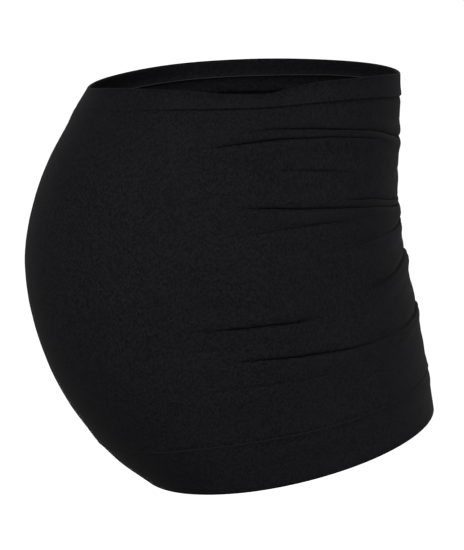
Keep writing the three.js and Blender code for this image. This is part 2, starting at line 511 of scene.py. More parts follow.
    def outward(self, turn: Array, rise: Array) -> Array:
        """Point straight out of the torso.

        Args:
            turn: Angles round the torso, in degrees.
            rise: Shares of the way up.

        Returns:
            A vector of length 1 at each place.
        """
        along = self.surface(turn + self.near_turn, rise) - self.surface(turn - self.near_turn, rise)
        above = self.surface(turn, np.minimum(rise + self.near_rise, 1.0))
        below = self.surface(turn, np.maximum(rise - self.near_rise, 0.0))
        normal = np.cross(along, above - below)
        return normal / np.linalg.norm(normal, axis=-1, keepdims=True)

    def _line_at(self, line: Array, turn: Array) -> Array:
        """How far up a knitted line lies, the same on the wearer's left and right.

        Args:
            line: The line's four stations.
            turn: Angles round the torso, in degrees.

        Returns:
            Shares of the way up.
        """
        side, flank, rear, spine = line
        place = np.maximum(np.minimum(turn, 360 - turn) - self.line_start, 0) / self.line_step
        first = curve(flank, side, flank, rear, place)
        second = curve(side, flank, rear, spine, place - 1)
        third = curve(flank, rear, spine, rear, place - 2)
        return np.where(place < 1, first, np.where(place < 2, second, third))

    def rise_of(self, turn: Array, level: Array) -> Array:
        """Turn levels into shares of the way up, between the known lines round them.

        Args:
            turn: Angles round the torso, in degrees.
            level: Knitted lines, as shares of the way up.

        Returns:
            How far up each knitted line lies at its angle.
        """
        sides = self._lines[:, 0]
        i = np.clip(np.searchsorted(sides, level), 1, len(sides) - 1)
        lifts = np.stack([self._line_at(line, turn) for line in self._lines])
        low, high = np.take_along_axis(lifts, np.stack([i - 1, i]), axis=0)
        share = (level - sides[i - 1]) / (sides[i] - sides[i - 1])
        return low * (1 - share) + high * share

    def _folded(self, turn: Array, rise: Array) -> tuple[Array, Array, Array]:
        """Fold the cloth.

        Args:
            turn: Angles round the torso, in degrees.
            rise: Shares of the way up.

        Returns:
            How far the folds push the cloth out, how far they pull it down over the creases, and
            how deep each place lies in a crease, from 0 to 1, which sets the painted shade there.
        """
        out = self._slack(turn, rise)
        down = np.zeros_like(rise)
        painted_shade = np.zeros_like(rise)
        for seed, (line, knit_line) in enumerate(zip(self._lines, KNIT_LINES)):
            if not knit_line.folds:
                continue
            above = (rise - self._line_at(line, turn)) * self.sizes.side_height
            above = above + self.wander * ripple(turn, seed)
            unevenness = 1 + self.unevenness * ripple(turn, seed + 5)
            for fold in knit_line.folds:
                strength = between(turn, fold.start, fold.end, fold.fade) * unevenness
                side = np.where(above > 0, fold.valley, self.crease_edge)
                slit = fold.depth * strength * np.exp(-((np.abs(above) / side) ** self.crease_power))
                roll = self.roll_height * bell(above + self.roll_drop, self.roll_spread)
                brow = self.brow_height * bell(above - self.brow_rise, self.roll_spread)
                lip = fold.lip * bell(above + self.lip_drop, self.lip_spread)
                pull = self.overhang * bell(above - self.overhang_rise, self.overhang_spread)
                out += strength * (fold.roll * (roll + brow) + lip) - self.crease_depth * slit
                down += fold.depth * strength * pull
                # The crease's depth also sets the painted shade there
                painted_shade = np.maximum(painted_shade, slit)
        return out, down, painted_shade

    def _slack(self, turn: Array, rise: Array) -> Array:
        """Let the cloth lie a little slack at the back, in long soft waves.

        Args:
            turn: Angles round the torso, in degrees.
            rise: Shares of the way up.

        Returns:
            How far the waves stand out.
        """
        low, low_fade, high, high_fade = self.slack_rises
        behind = between(turn, *self.slack_turns)
        middle = ease((rise - low) / low_fade) * ease((high - rise) / high_fade)
        phase = 2 * math.pi * rise * self.sizes.side_height / self.slack_pitch
        waves = sum(
            height * np.sin(number * phase + bend * ripple(turn, seed))
            for height, number, bend, seed in self.slack_waves
        )
        share = self.slack_least + (1 - self.slack_least) * behind * middle
        return self.slack_height * share * waves

    def cloth(self, turn: Array, level: Array, offset: Array) -> tuple[Array, Array]:
        """Place points of the cloth.

        Args:
            turn: Angles round the torso, in degrees.
            level: Knitted lines, as shares of the way up.
            offset: How far the points stand out from the tube's outer face, in metres.

        Returns:
            The points, and how deep each lies in a crease, from 0 to 1, as the share of painted shade
            there.
        """
        rise = self.rise_of(turn, level)
        out, down, painted_shade = self._folded(turn, rise)
        lowered = rise - down / self.sizes.side_height
        stand = (out + offset)[..., None]
        return self.surface(turn, lowered) + self.outward(turn, rise) * stand, painted_shade


@dataclass(frozen=True)
class ClothSizes:
    """Thicknesses of the cloth's layers, in metres, and how finely the walls are drawn.

    Attributes:
        tube: Thickness of the tube.
        layer: Thickness of each of a band's two layers.
        clearance: Air between one layer and the next.
        edge_room: Air between the tube's edge and the fold of the band round it.
        girth: Distance round the tube that the knit is counted on.
        columns: Columns of faces round the tube.
    """

    tube: float = 1.2 * MM
    layer: float = 0.7 * MM
    clearance: float = 0.15 * MM
    edge_room: float = 1.0 * MM
    girth: float = 0.96
    columns: int = 256

    @property
    def band_half(self) -> float:
        """Half the thickness of a folded band."""
        return self.tube / 2 + self.clearance + self.layer

    @property
    def band_stand(self) -> float:
        """How far a band's outer face stands out from the tube's."""
        return self.band_half - self.tube / 2


@dataclass
class Ring:
    """A wall in section: the loop that is swept round the torso.

    Attributes:
        level: Knitted line of each point, as a share of the way up.
        offset: How far each point stands out from the tube's outer face, in metres.
        relief: For an angle and a level, how much further out the outer face stands there, and how
            much painted shade it gets along a groove or a band's fold, from 0 to 1.
    """

    level: list[float]
    offset: list[float]
    relief: Callable[[Array, Array], tuple[Array, Array]]

    def sweep(self, torso: Torso, cloth: ClothSizes, name: str) -> bpy.types.Object:
        """Sweep the loop round the torso into one closed mesh.

        Args:
            torso: The surface that the cloth lies on.
            cloth: The cloth's sizes.
            name: The new object's name.

        Returns:
            The object, with its cloth map and its mark of painted shade in the creases, grooves and folds.
        """
        count, size = cloth.columns, len(self.level)
        turn = np.repeat(360.0 * np.arange(count)[:, None] / count, size, axis=1)
        level = np.repeat(np.array(self.level)[None, :], count, axis=0)
        offset = np.repeat(np.array(self.offset)[None, :], count, axis=0)
        stand, relief_painted_shade = self.relief(turn, level)
        points, painted_shade = torso.cloth(turn, level, offset + np.where(offset < 0, 0.0, stand))
        # Add the painted shade along the grooves and folds, on the outer faces only
        painted_shade = np.maximum(painted_shade, np.where(offset < 0, 0.0, relief_painted_shade))
        column, k = np.meshgrid(np.arange(count), np.arange(size), indexing="ij")
        following, m = (column + 1) % count, (k + 1) % size
        corners = [(column, k), (following, k), (following, m), (column, m)]
        faces = np.stack([a * size + b for a, b in corners], axis=-1).reshape(-1, 4)
        mesh = bpy.data.meshes.new(name)
        mesh.from_pydata(points.reshape(-1, 3).tolist(), [], faces.tolist())
        mesh.shade_smooth()
        across = cloth.girth / MM * np.stack([column, column + 1, column + 1, column], axis=-1) / count
        heights = np.array(self.level) * torso.sizes.side_height / MM
        up = np.stack([heights[k], heights[k], heights[m], heights[m]], axis=-1)
        cloth_map = mesh.uv_layers.new(name=CLOTH_MAP)
        cloth_map.uv.foreach_set("vector", np.stack([across, up], axis=-1).ravel())
        mark = mesh.attributes.new(PAINTED_SHADE_MARK, "FLOAT", "POINT")
        mark.data.foreach_set("value", painted_shade.ravel().astype(np.float32))
        mesh.validate()
        return put(name, mesh)


def away_from_belly(turn: Array) -> Array:
    """Where the bands' edges stand out from the tube: all round, fading towards the taut belly."""
    return between(turn, *EDGE_TURNS)


class NodeBoard:
    """Adds nodes to one node tree and joins them.

    Attributes:
        tree: The tree that is filled.
        step: Distance from one node to the next when they are put in rows.
        rows: Rows of nodes.
    """

    step = (180, -40)
    rows = 5

    def __init__(self, tree: bpy.types.NodeTree) -> None:
        """Start on a tree."""
        self.tree = tree

    def add(self, kind: str, *inputs: object, **settings: object) -> bpy.types.Node:
        """Add one node.

        Args:
            kind: The node's type, as the tree names it.
            *inputs: What its sockets get in order: a socket to link, a value, or None for neither.
            **settings: The node's own properties.

        Returns:
            The node.
        """
        node = self.tree.nodes.new(kind)
        for name, value in settings.items():
            setattr(node, name, value)
        for socket, value in zip(node.inputs, inputs):
            self.feed(socket, value)
        return node

    def wired(self, kind: str, sockets: dict[str, object], **settings: object) -> bpy.types.Node:
        """Add one node whose sockets are fed by name.

        Args:
            kind: The node's type, as the tree names it.
            sockets: What each named socket gets: a socket to link or a value.
            **settings: The node's own properties.

        Returns:
            The node.
        """
        node = self.add(kind, **settings)
        self.fill(node, sockets)
        return node

    def fill(self, node: bpy.types.Node, sockets: dict[str, object]) -> None:
        """Feed the sockets of a node by name."""
        for name, value in sockets.items():
            self.feed(node.inputs[name], value)

    def feed(self, socket: bpy.types.NodeSocket, value: object) -> None:
        """Link a socket to another, or give it a value.

        Args:
            socket: The socket that is fed.
            value: The other socket, the value, or None for neither.
        """
        if isinstance(value, bpy.types.NodeSocket):
            self.tree.links.new(value, socket)
        elif value is not None:
            socket.default_value = value

    def math(self, operation: str, *inputs: object) -> bpy.types.NodeSocket:
        """Add a sum of one or two numbers and hand its result on."""
        return self.add("ShaderNodeMath", *inputs, operation=operation).outputs[0]

    def blend(self, share: object, first: object, second: object) -> bpy.types.NodeSocket:
        """Mix two colours.

        Args:
            share: How much of the second colour goes in.
            first: The first colour.
            second: The second colour.

        Returns:
            The socket that holds the mix.
        """
        mix = self.add("ShaderNodeMix", data_type="RGBA", clamp_factor=True)
        for i, value in zip(COLOUR_MIX_INPUTS, (share, first, second)):
            self.feed(mix.inputs[i], value)
        return mix.outputs[COLOUR_MIX_OUTPUT]

    def settle(self) -> None:
        """Put the nodes in rows, in the order in which they were added."""
        for i, node in enumerate(self.tree.nodes):
            node.location = (self.step[0] * i, self.step[1] * (i % self.rows))

    def hand_out(self, *outputs: bpy.types.NodeSocket) -> bpy.types.NodeTree:
        """Join a group's outputs.

        Args:
            *outputs: What the group puts out, in the order of its outputs.

        Returns:
            The finished group.
        """
        self.add("NodeGroupOutput", *outputs)
        self.settle()
        return self.tree


def start_group(
    name: str, kind: str, inputs: dict[str, str], outputs: dict[str, str]
) -> tuple[NodeBoard, bpy.types.NodeOutputs]:
    """Start a node group.

    Args:
        name: The group's name.
        kind: The type of its tree.
        inputs: The type of each input, such as Float, by its name.
        outputs: The type of each output, by its name.

    Returns:
        A board for the group's nodes, and the sockets that hold what the group is given.
    """
    group = bpy.data.node_groups.new(name, kind)
    for direction, sockets in (("INPUT", inputs), ("OUTPUT", outputs)):
        for label, socket in sockets.items():
            group.interface.new_socket(name=label, in_out=direction, socket_type=f"NodeSocket{socket}")
    board = NodeBoard(group)
    return board, board.add("NodeGroupInput").outputs


def new_material(name: str) -> tuple[bpy.types.Material, NodeBoard, bpy.types.Node]:
    """Start a material.

    Args:
        name: The material's name.

    Returns:
        The material, a board for its nodes, and its shader.
    """
    material = bpy.data.materials.new(name)
    material.use_nodes = True
    return material, NodeBoard(material.node_tree), material.node_tree.nodes["Principled BSDF"]


def knit_relief() -> bpy.types.NodeTree:
    """Make the relief of a plain knit: upright wales of stitches that lean to either side.

    Returns:
        A shader group that puts out the stitches' height, the hollows between them and a chance
        number for each stitch.
    """
    sway_scale, sway_detail, sway_reach = 0.12, 2.0, 2.0
    roundness, thinnest = 0.6, 0.5
    board, given = start_group(
        "knit relief",
        "ShaderNodeTree",
        {"Cloth": "Vector", "Wale": "Float", "Course": "Float", "Lean": "Float"},
        {"Height": "Float", "Hollow": "Float", "Stitch": "Float"},
    )

    def tent(value: bpy.types.NodeSocket) -> bpy.types.NodeSocket:
        """Rise to 1 halfway between 0 and 1, and fall again."""
        swing = board.math("MULTIPLY_ADD", value, 2.0, -1.0)
        return board.math("SUBTRACT", 1.0, board.math("ABSOLUTE", swing))

    sway = board.add("ShaderNodeTexNoise", given["Cloth"], None, sway_scale, sway_detail)
    place = board.add("ShaderNodeSeparateXYZ", given["Cloth"]).outputs
    across = board.math("ADD", place[0], board.math("MULTIPLY", sway.outputs["Fac"], sway_reach))
    walled = board.math("DIVIDE", across, given["Wale"])
    off_centre = board.math("SUBTRACT", board.math("FRACT", walled), 0.5)
    from_middle = board.math("MULTIPLY", board.math("ABSOLUTE", off_centre), 2.0)
    climb = board.math("MULTIPLY", from_middle, given["Lean"])
    coursed = board.math("ADD", board.math("DIVIDE", place[1], given["Course"]), climb)
    loop = board.math("POWER", tent(board.math("FRACT", coursed)), roundness)
    strand = board.math("MULTIPLY_ADD", loop, 1 - thinnest, thinnest)
    height = board.math("MULTIPLY", board.math("POWER", tent(from_middle), roundness), strand)
    hollow = board.math("SUBTRACT", 1.0, height)
    cell = board.add("ShaderNodeCombineXYZ", board.math("FLOOR", walled), board.math("FLOOR", coursed))
    stitch = board.add("ShaderNodeTexWhiteNoise", cell.outputs[0], noise_dimensions="2D")
    return board.hand_out(height, hollow, stitch.outputs["Value"])


def cloth_tone() -> bpy.types.NodeTree:
    """Make the unevenness of dyed knit, uneven stitches and streaks along the wales, and paint shade into
    the hollows between the stitches and into the marked creases, grooves and folds.

    Returns:
        A shader group that puts out the cloth's colour and its roughness.
    """
    streak_squeeze, streak_scale, streak_detail = (0.85, 0.4, 1.0), 1.0, 0.0
    patch_scale, patch_detail, patch_strength = 14.0, 2.0, 0.16
    # The second and third numbers are painted shade: how much the hollows between the stitches and the
    # shade mark darken the colour
    mean_tone, hollow_painted_shade, crease_painted_shade, streak_rough = 0.62, 0.3, 0.6, 0.08
    numbers = {name: "Float" for name in ("Streaks", "Grain", "Stitch", "Hollow", "Painted shade", "Roughness")}
    board, given = start_group(
        "cloth tone",
        "ShaderNodeTree",
        {"Cloth": "Vector", "Place": "Vector", "Deep": "Color", "Crest": "Color", **numbers},
        {"Color": "Color", "Roughness": "Float"},
    )

    def swing(tone: bpy.types.NodeSocket, strength: object) -> bpy.types.NodeSocket:
        """Make a tone between 0 and 1 swing to both sides of 0."""
        return board.math("MULTIPLY", board.math("SUBTRACT", tone, 0.5), strength)

    drawn_out = board.add("ShaderNodeVectorMath", given["Cloth"], streak_squeeze, operation="MULTIPLY")
    streak = board.add("ShaderNodeTexNoise", drawn_out.outputs[0], None, streak_scale, streak_detail)
    patch = board.add("ShaderNodeTexNoise", given["Place"], None, patch_scale, patch_detail)
    streak_part = swing(streak.outputs["Fac"], given["Streaks"])
    patch_part = swing(patch.outputs["Fac"], patch_strength)
    uneven = board.math("ADD", streak_part, patch_part)
    uneven = board.math("ADD", uneven, swing(given["Stitch"], given["Grain"]))
    lit = board.math("ADD", uneven, mean_tone)
    # Painted shade: darken the colour in the hollows between the stitches and where the shade mark is set
    for mark, darkening in (("Hollow", hollow_painted_shade), ("Painted shade", crease_painted_shade)):
        lit = board.math("SUBTRACT", lit, board.math("MULTIPLY", given[mark], darkening))
    rough = board.math("MULTIPLY_ADD", streak_part, streak_rough, given["Roughness"])
    return board.hand_out(board.blend(lit, given["Deep"], given["Crest"]), rough)


@dataclass(frozen=True)
class KnitFinish:
    """A knitted cloth's finish.

    Attributes:
        name: The material's name.
        deep: Dark end of the colour, which random tone and the painted shade between the stitches and in
            the creases draw the cloth towards.
        crest: Colour of the stitches' crests.
        wale: Width of a wale, in millimetres.
        course: Height of a course, in millimetres.
        lean: How far the stitches' legs lean, as a share of a course.
        streaks: How strongly the tone varies along the wales.
        grain: How strongly it varies from stitch to stitch.
        relief: Height of the stitches, in metres.
        roughness: Mean roughness.
        specular: Strength of the mirror-like part of the light that it throws back.
        painted_sheen: Colour of the painted sheen that lightens the cloth towards the silhouette.
        painted_sheen_share: How much of that painted sheen shows at the outermost edge.
        painted_sheen_fall: How quickly it gives way to the cloth's own colour away from there.
    """

    name: str
    deep: Colour = (0.0015, 0.0015, 0.0019)
    crest: Colour = (0.0138, 0.0137, 0.0157)
    wale: float = 1.3
    course: float = 1.0
    lean: float = 0.6
    streaks: float = 0.48
    grain: float = 0.43
    relief: float = 0.15 * MM
    roughness: float = 0.85
    specular: float = 0.04
    painted_sheen: Colour = (0.06, 0.06, 0.062)
    painted_sheen_share: float = 0.8
    painted_sheen_fall: float = 5.0

    def material(self, relief: bpy.types.NodeTree, tone: bpy.types.NodeTree) -> bpy.types.Material:
        """Make the material.

        Args:
            relief: The shader group of the stitches' relief.
            tone: The shader group of the cloth's unevenness.

        Returns:
            The material.
        """
        material, board, shader = new_material(self.name)
        cloth = board.add("ShaderNodeUVMap", uv_map=CLOTH_MAP).outputs[0]
        knit = {"Cloth": cloth, "Wale": self.wale, "Course": self.course, "Lean": self.lean}
        stitches = board.wired("ShaderNodeGroup", knit, node_tree=relief).outputs
        shade = {
            "Cloth": cloth,
            "Place": board.add("ShaderNodeTexCoord").outputs["Object"],
            "Deep": (*self.deep, 1.0),
            "Crest": (*self.crest, 1.0),
            "Streaks": self.streaks,
            "Grain": self.grain,
            "Stitch": stitches["Stitch"],
            "Hollow": stitches["Hollow"],
            # Painted shade of the creases, grooves and folds
            "Painted shade": board.add("ShaderNodeAttribute", attribute_name=PAINTED_SHADE_MARK).outputs["Fac"],
            "Roughness": self.roughness,
        }
        tones = board.wired("ShaderNodeGroup", shade, node_tree=tone).outputs
        raised = {"Strength": 1.0, "Distance": self.relief, "Height": stitches["Height"]}
        # Painted sheen: lighten the colour towards the silhouette, where the surface turns away from the
        # view
        facing = board.add("ShaderNodeLayerWeight").outputs["Facing"]
        edge = board.math("MULTIPLY", board.math("POWER", facing, self.painted_sheen_fall), self.painted_sheen_share)
        surface = {
            "Base Color": board.blend(edge, tones["Color"], (*self.painted_sheen, 1.0)),
            "Roughness": tones["Roughness"],
            "Normal": board.wired("ShaderNodeBump", raised).outputs["Normal"],
            "Specular IOR Level": self.specular,
        }
        board.fill(shader, surface)
        board.settle()
        return material


@dataclass(frozen=True)
class YarnFinish:
    """The finish of the yarn that links the layers.

    Attributes:
        name: The material's name.
        dark: Colour of the yarn's darkest places.
        light: Colour of its lightest.
        scale: Places per metre at which the colour changes.
        roughness: Its roughness.
        specular: Strength of the mirror-like part of the light that it throws back.
    """

    name: str
    dark: Colour
    light: Colour
    scale: float = 900.0
    roughness: float = 0.8
    specular: float = 0.1

    def material(self) -> bpy.types.Material:
        """Make the material.

        Returns:
            The material.
        """
        material, board, shader = new_material(self.name)
        place = board.add("ShaderNodeTexCoord").outputs["Object"]
        change = board.add("ShaderNodeTexNoise", place, None, self.scale, 1.0).outputs["Fac"]
        surface = {
            "Base Color": board.blend(change, (*self.dark, 1.0), (*self.light, 1.0)),
            "Roughness": self.roughness,
            "Specular IOR Level": self.specular,
        }
        board.fill(shader, surface)
        board.settle()
        return material


@dataclass(frozen=True)
class LinkingRow:
    """A row of small arched stitches along a layer's free edge.

    Attributes:
        name: The row's name.
        level: Knitted line that it runs along, as a share of the way up.
        offset: How far it stands out from the tube's outer face, in metres.
        inside: Whether it lies on the inside of the tube.
        pitch: Distance from one stitch to the next.
        strand: Radius of the yarn.
        span: Length of a stitch.
        rise: How far a stitch arches out from the cloth.
        lean: How far a stitch leans up from the row.
        seed: Seed of the stitches' unevenness.
        stations: Points of the row's path round the torso.
    """

    name: str
    level: float
    offset: float
    inside: bool = False
    pitch: float = 1.6 * MM
    strand: float = 0.26 * MM
    span: float = 2.0 * MM
    rise: float = 0.5 * MM
    lean: float = 0.5 * MM
    seed: int = 1
    stations: int = 720

    def build(
        self, torso: Torso, tree: bpy.types.NodeTree, finish: bpy.types.Material
    ) -> bpy.types.Object:
        """Lay the row round the torso.

        Args:
            torso: The surface that the cloth lies on.
            tree: The geometry group that strings the stitches.
            finish: The yarn's material.

        Returns:
            The row's object.
        """
        path = self._path(torso)
        modifier = path.modifiers.new("stitches", "NODES")
        modifier.node_group = tree
        values = {
            "Pitch": self.pitch,
            "Strand": self.strand,
            "Span": self.span,
            "Rise": self.rise,
            "Lean": self.lean,
            "Seed": self.seed,
            "Finish": finish,
        }
        for socket in tree.interface.items_tree:
            if socket.item_type == "SOCKET" and socket.name in values:
                modifier[socket.identifier] = values[socket.name]
        grown = path.evaluated_get(bpy.context.evaluated_depsgraph_get())
        mesh = bpy.data.meshes.new_from_object(grown)
        mesh.name = self.name
        path.modifiers.remove(modifier)
        bpy.data.objects.remove(path)
        return put(self.name, mesh)

    def _path(self, torso: Torso) -> bpy.types.Object:
        """Draw the closed line that the stitches follow, with the way out of the cloth marked.

        Args:
            torso: The surface that the cloth lies on.

        Returns:
            The line's object.
        """
        turn = 360.0 * np.arange(self.stations) / self.stations
        level = np.full(self.stations, self.level)
        points, _ = torso.cloth(turn, level, np.full(self.stations, self.offset))
        away = torso.outward(turn, torso.rise_of(turn, level)) * (-1 if self.inside else 1)
        edges = [(k, (k + 1) % self.stations) for k in range(self.stations)]
        mesh = bpy.data.meshes.new(f"{self.name} path")
        mesh.from_pydata(points.tolist(), edges, [])
        mark = mesh.attributes.new(AWAY_MARK, "FLOAT_VECTOR", "POINT")
        mark.data.foreach_set("vector", away.ravel().astype(np.float32))
        return put(f"{self.name} path", mesh)

    def dress(self, piece: bpy.types.Object) -> None:
        """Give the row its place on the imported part."""
        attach(piece, BODY)


def stitch_row() -> bpy.types.NodeTree:
    """Make the tree that strings arched stitches along a marked line.

    Returns:
        A geometry group with the stitches' sizes, their seed and their finish as inputs.
    """
    arch_steps, strand_sides, half_lean = 6, 5, 0.5
    smallest, largest = 0.88, 1.12
    sizes = {name: "Float" for name in ("Pitch", "Strand", "Span", "Rise", "Lean")}
    board, given = start_group(
        "stitch row",
        "GeometryNodeTree",
        {"Path": "Geometry", **sizes, "Seed": "Int", "Finish": "Material"},
        {"Stitches": "Geometry"},
    )
    line = board.add("GeometryNodeMeshToCurve", given["Path"]).outputs[0]
    spacing = {"Curve": line, "Length": given["Pitch"]}
    spaced = board.wired("GeometryNodeResampleCurve", spacing, mode="LENGTH")

    half = board.math("MULTIPLY", given["Span"], 0.5)
    lean = board.math("MULTIPLY", given["Lean"], half_lean)
    back, fall = (board.math("MULTIPLY", value, -1.0) for value in (half, lean))
    peak = board.math("MULTIPLY", given["Rise"], 2.0)  # the bend's handle, twice as high as its top
    places = {"Start": (back, fall, 0.0), "Middle": (0.0, 0.0, peak), "End": (half, lean, 0.0)}
    bend = {name: board.add("ShaderNodeCombineXYZ", *at).outputs[0] for name, at in places.items()}
    arch = board.wired("GeometryNodeCurveQuadraticBezier", {"Resolution": arch_steps, **bend})
    circle = {"Resolution": strand_sides, "Radius": given["Strand"]}
    section = board.wired("GeometryNodeCurvePrimitiveCircle", circle)
    swept = {
        "Curve": arch.outputs["Curve"],
        "Profile Curve": section.outputs["Curve"],
        "Fill Caps": True,
    }
    stitch = board.wired("GeometryNodeCurveToMesh", swept)

    away = board.wired("GeometryNodeInputNamedAttribute", {"Name": AWAY_MARK}, data_type="FLOAT_VECTOR")
    tangent = board.add("GeometryNodeInputTangent").outputs[0]
    along = board.wired("FunctionNodeAlignRotationToVector", {"Vector": tangent}, axis="X")
    raised = {"Rotation": along.outputs["Rotation"], "Vector": away.outputs["Attribute"]}
    upright = board.wired("FunctionNodeAlignRotationToVector", raised, axis="Z", pivot_axis="X")
    chance = board.wired("FunctionNodeRandomValue", {"Seed": given["Seed"]}, data_type="FLOAT")
    for i, value in zip(RANDOM_FLOAT_INPUTS, (smallest, largest)):
        board.feed(chance.inputs[i], value)

    copies = {
        "Points": spaced.outputs["Curve"],
        "Instance": stitch.outputs["Mesh"],
        "Rotation": upright.outputs["Rotation"],
        "Scale": chance.outputs[RANDOM_FLOAT_OUTPUT],
    }
    strung = board.wired("GeometryNodeInstanceOnPoints", copies)
    real = board.add("GeometryNodeRealizeInstances", strung.outputs["Instances"])
    smooth = board.add("GeometryNodeSetShadeSmooth", real.outputs[0])
    dressed = {"Geometry": smooth.outputs[0], "Material": given["Finish"]}
    return board.hand_out(board.wired("GeometryNodeSetMaterial", dressed).outputs["Geometry"])


@dataclass(frozen=True)
class BodyPanel:
    """The seamless tube, with its crosswise folds.

    Attributes:
        cloth: The cloth's sizes.
        top_band: Height of the top band's outer layer, in metres.
        hem_band: The same of the hem band.
        creased_rows: Distances from a crease at which the outer face has a row of faces, in
            millimetres.
        lining_rows: The same on the inner face.
        seam_rows: The same from a band's free edge, negative under the band.
        crowding: Least distance between two rows, as a share of that between the first two.
        plain_row: Greatest height of a row, in metres.
        flat: Width round and height of the tube off the body, in metres; not used.
        swell_start: How far past a band's free edge the tube stands out as far as the band, in
            metres, as all that follows.
        swell_reach: How far it then takes to come back.
        groove_middle: How far past the free edge the groove along it is deepest.
        groove_half: How far the groove spreads.
        groove_depth: How far the tube dips in there.
        groove_painted_shade: How strong the painted shade in the groove is, as a share of that in the
            deepest crease.
        taut_groove: Depth of the top band's groove at the taut belly, as a share of the deepest.
        hem_groove: The same of the hem band's at the back.
    """

    cloth: ClothSizes
    top_band: float
    hem_band: float
    creased_rows: tuple[float, ...] = (0, 0.35, 0.7, 1.1, 1.7, 2.5, 3.6, 5.2, 7.6)
    lining_rows: tuple[float, ...] = (0, 0.9, 2.4, 5.2)
    seam_rows: tuple[float, ...] = (-1.2, -0.4, 0, 0.35, 0.7, 1.05, 1.5, 2.2, 3.4, 5, 8, 11, 15)
    crowding: float = 0.75
    plain_row: float = 5.0 * MM
    flat: tuple[float, float] = (0.72, 0.34)
    swell_start: float = 2.0 * MM
    swell_reach: float = 12.0 * MM
    groove_middle: float = 0.8 * MM
    groove_half: float = 1.7 * MM
    groove_depth: float = 0.15 * MM
    groove_painted_shade: float = 0.4
    taut_groove: float = 0.2
    hem_groove: float = 0.22

    def build(self, torso: Torso) -> bpy.types.Object:
        """Model the tube.

        Args:
            torso: The surface that it lies on.

        Returns:
            The tube's object.
        """
        height = torso.sizes.side_height
        seams = [1 - (self.top_band + row * MM) / height for row in self.seam_rows]
        seams += [(self.hem_band + row * MM) / height for row in self.seam_rows]
        outer = self._levels(torso, self.creased_rows, seams)
        inner = self._levels(torso, self.lining_rows, [])[::-1]
        offsets = [0.0] * len(outer) + [-self.cloth.tube] * len(inner)

        def swell(turn: Array, level: Array) -> tuple[Array, Array]:
            """Meet the bands' outer faces, past a groove along each free edge.

            Args:
                turn: Angles round the torso, in degrees.
                level: Knitted lines, as shares of the way up.

            Returns:
                How far the panel stands out, and how much painted shade it gets in a groove, from 0 to 1.
            """
            groove = away_from_belly(turn)
            top_groove = self.taut_groove + (1 - self.taut_groove) * groove
            top = self._meet((1 - level) * height - self.top_band, top_groove)
            hem = self._meet(level * height - self.hem_band, self.hem_groove * groove)
            return top[0] + hem[0], top[1] + hem[1]

        return Ring(outer + inner, offsets, swell).sweep(torso, self.cloth, "body_panel_knit")

    def _meet(self, beyond: Array, groove: Array) -> tuple[Array, Array]:
        """Swell out to a band's outer face beyond its free edge, and fade away from there.

        Args:
            beyond: Distance from the free edge, in metres, negative under the band.
            groove: Depth of the groove along the edge, as a share of the deepest.

        Returns:
            How far the panel stands out, and how much painted shade it gets in the groove, from 0 to 1.
        """
        fade = 1 - ease((beyond - self.swell_start) / self.swell_reach)
        swell = self.cloth.band_stand * np.where(beyond < 0, 0.0, fade)
        hollow = groove * bell(beyond - self.groove_middle, self.groove_half)
        # The groove's painted shade follows its depth
        return swell - hollow * (swell + self.groove_depth), self.groove_painted_shade * hollow

    def _levels(self, torso: Torso, rows: Sequence[float], seams: Sequence[float]) -> list[float]:
        """Choose the levels of the rows of faces, close together at the creases and seams.

        Args:
            torso: The surface that the tube lies on.
            rows: Distances from a crease of the rows beside it, in millimetres.
            seams: Levels beside the bands' free edges.

        Returns:
            The levels, from the hem up.
        """
        height = torso.sizes.side_height
        edge = (self.cloth.band_half + self.cloth.edge_room) / height
        least = self.crowding * (rows[1] - rows[0]) * MM / height
        levels = [edge, 1 - edge, *seams]
        for row in rows:
            for side in (1, -1):
                for knit_line in KNIT_LINES:
                    level = knit_line.side + side * row * MM / height
                    clear = min(abs(level - other) for other in levels) > least
                    if knit_line.folds and clear and edge < level < 1 - edge:
                        levels.append(level)
        levels.sort()
        filled = [levels[0]]
        for low, high in zip(levels, levels[1:]):
            steps = max(math.ceil((high - low) * height / self.plain_row), 1)
            filled += [low + (high - low) * k / steps for k in range(1, steps + 1)]
        return filled

    def dress(self, piece: bpy.types.Object, finish: bpy.types.Material) -> None:
        """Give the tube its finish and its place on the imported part.

        Args:
            piece: The tube's object.
            finish: Its material.
        """
        piece.data.materials.append(finish)
        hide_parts("body_panel")
        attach(piece, BODY)


class Edge(Enum):
    """Which edge of the tube a band holds."""

    TOP = "top_band"
    HEM = "hem_band"


